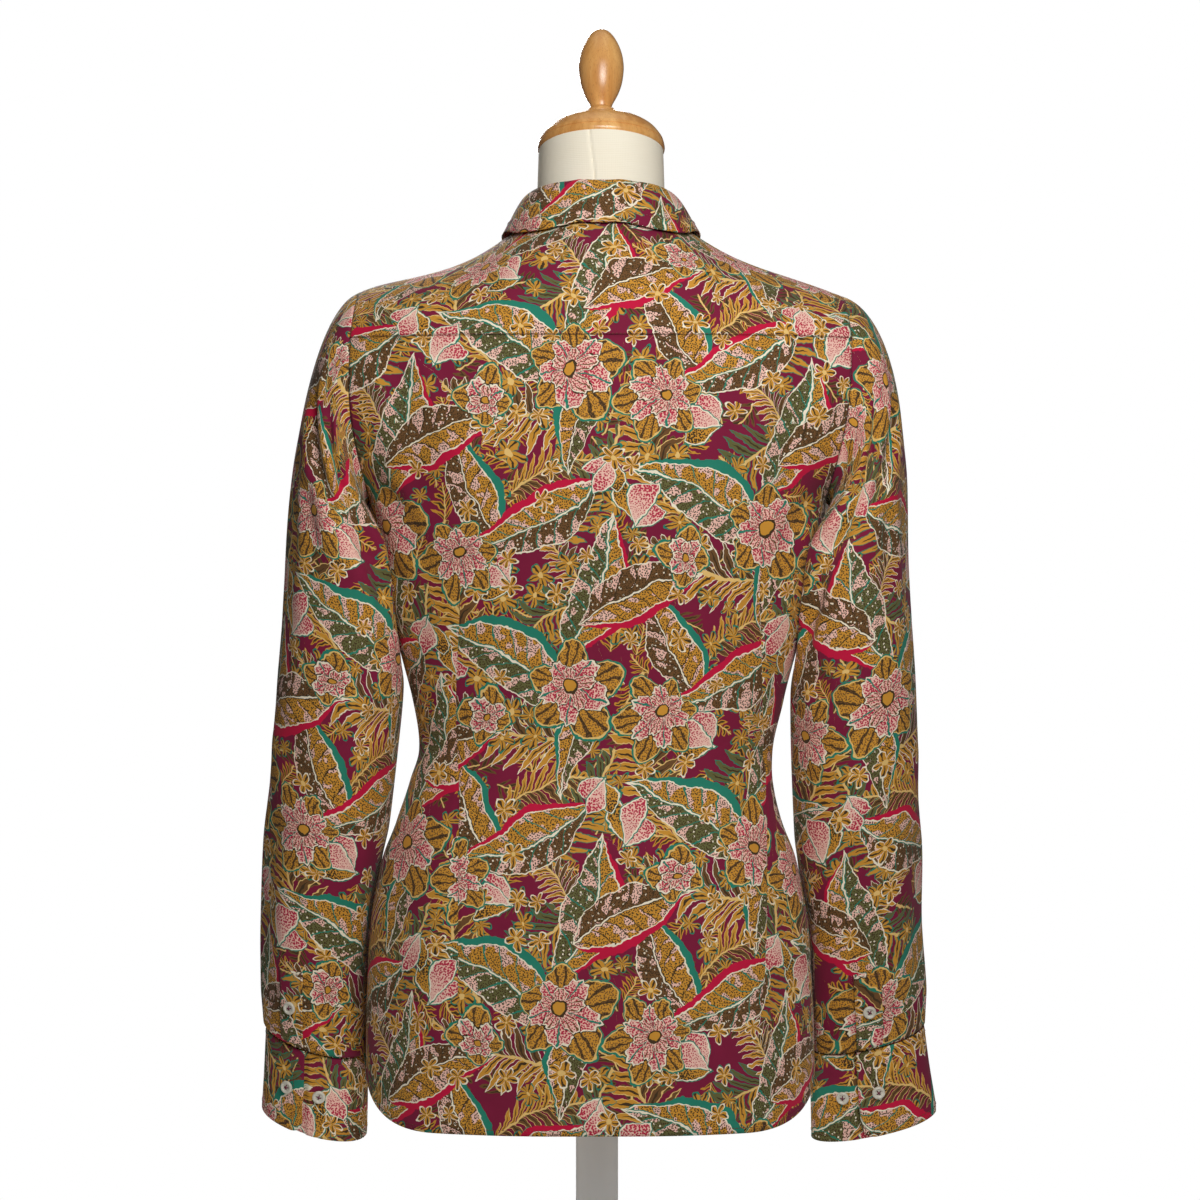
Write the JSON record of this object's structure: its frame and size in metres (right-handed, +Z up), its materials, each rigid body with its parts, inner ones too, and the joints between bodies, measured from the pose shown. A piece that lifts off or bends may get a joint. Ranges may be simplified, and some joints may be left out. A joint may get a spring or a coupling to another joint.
{
  "type": "printed long-sleeve shirt on a dress form",
  "caption": "Fitted long-sleeved shirt in a dense leaf and blossom print, buttoned on a limbless linen dress form with a wooden cap and finial, on a round tabletop stand.",
  "frame": {"origin": "centre of the round base's underside, on the surface that the stand rests on", "axes": "+Z up along the stem, -Y the way the shirt's buttoned front faces, +X towards the wearer's left sleeve"},
  "size_m": [0.5182, 0.3, 0.9961],
  "materials": {
    "printed_cotton": "matte plain-weave cotton printed with leaves and blossoms on a burgundy ground",
    "pearl_button": "polished off-white pearl-effect buttons",
    "form_linen": "tightly stretched cream linen",
    "form_wood": "turned beech with honey-coloured varnish",
    "stand_paint": "smooth off-white satin paint"
  },
  "bodies": {
    "root": {"stand_base": "stand_paint", "stand_stem": "stand_paint", "form_torso": "form_linen", "neck_cap": "form_wood", "finial": "form_wood", "back": "printed_cotton", "yoke": "printed_cotton", "front_left": "printed_cotton", "front_right": "printed_cotton", "front_band": "printed_cotton", "collar_stand": "printed_cotton", "collar_leaf": "printed_cotton", "sleeve_left": "printed_cotton", "cuff_left": "printed_cotton", "sleeve_placket_left": "printed_cotton", "sleeve_right": "printed_cotton", "cuff_right": "printed_cotton", "sleeve_placket_right": "printed_cotton", "button_front_1": "pearl_button", "button_front_2": "pearl_button", "button_front_3": "pearl_button", "button_front_4": "pearl_button", "button_front_5": "pearl_button", "button_front_6": "pearl_button", "button_front_7": "pearl_button", "button_collar": "pearl_button", "button_cuff_outer_left": "pearl_button", "button_cuff_inner_left": "pearl_button", "button_placket_left": "pearl_button", "button_cuff_outer_right": "pearl_button", "button_cuff_inner_right": "pearl_button", "button_placket_right": "pearl_button"}
  },
  "joints": []
}
